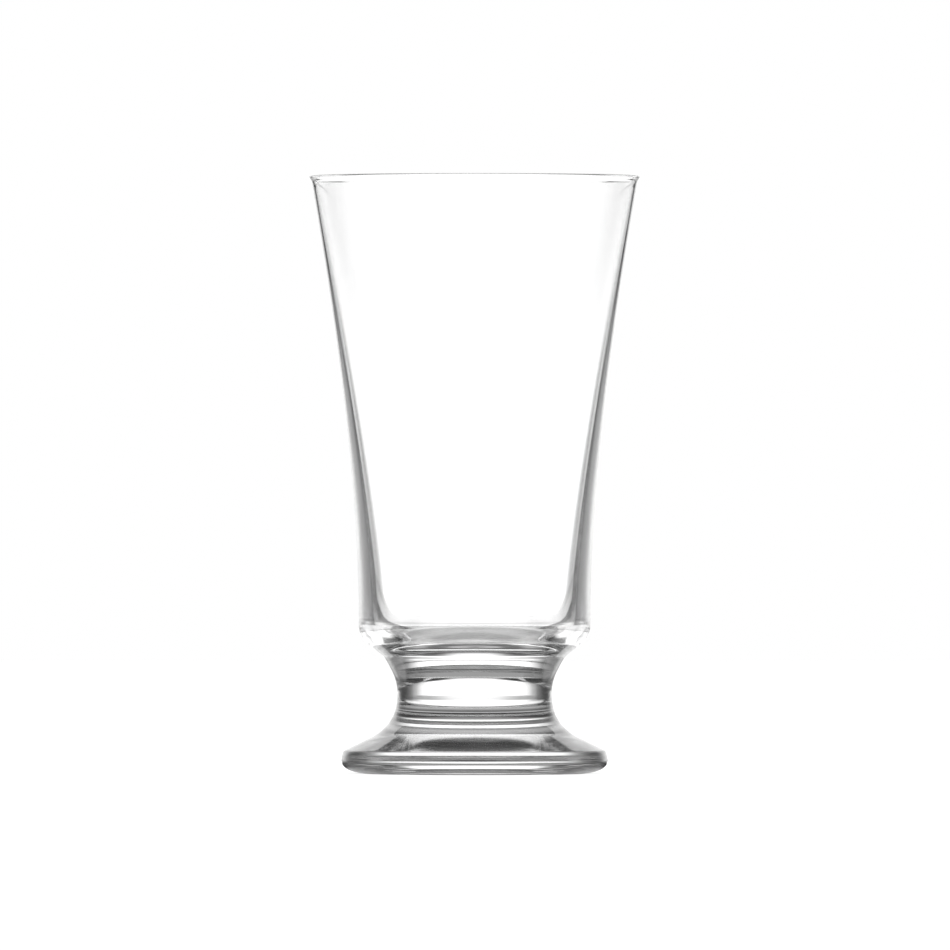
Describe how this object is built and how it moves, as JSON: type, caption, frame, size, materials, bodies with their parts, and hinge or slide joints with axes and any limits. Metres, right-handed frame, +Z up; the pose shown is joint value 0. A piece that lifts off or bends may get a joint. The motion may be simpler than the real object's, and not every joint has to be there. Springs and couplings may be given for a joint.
{
  "type": "water goblet",
  "caption": "Clear glass goblet with a tall flared bowl, a short waisted stem and a thick round foot; holds a drink and stands on the flat underside of its foot.",
  "frame": {"origin": "centre of the flat underside of the foot, on the plane that the goblet stands on", "axes": "+Z up along the axis of revolution, from the foot to the rim; +X and +Y are free, because the goblet is round"},
  "size_m": [0.08, 0.08, 0.144],
  "materials": {
    "clear_glass": "clear soda-lime glass, fire-polished, smooth"
  },
  "bodies": {
    "root": {"foot": "clear_glass", "stem": "clear_glass", "bowl": "clear_glass"}
  },
  "joints": []
}
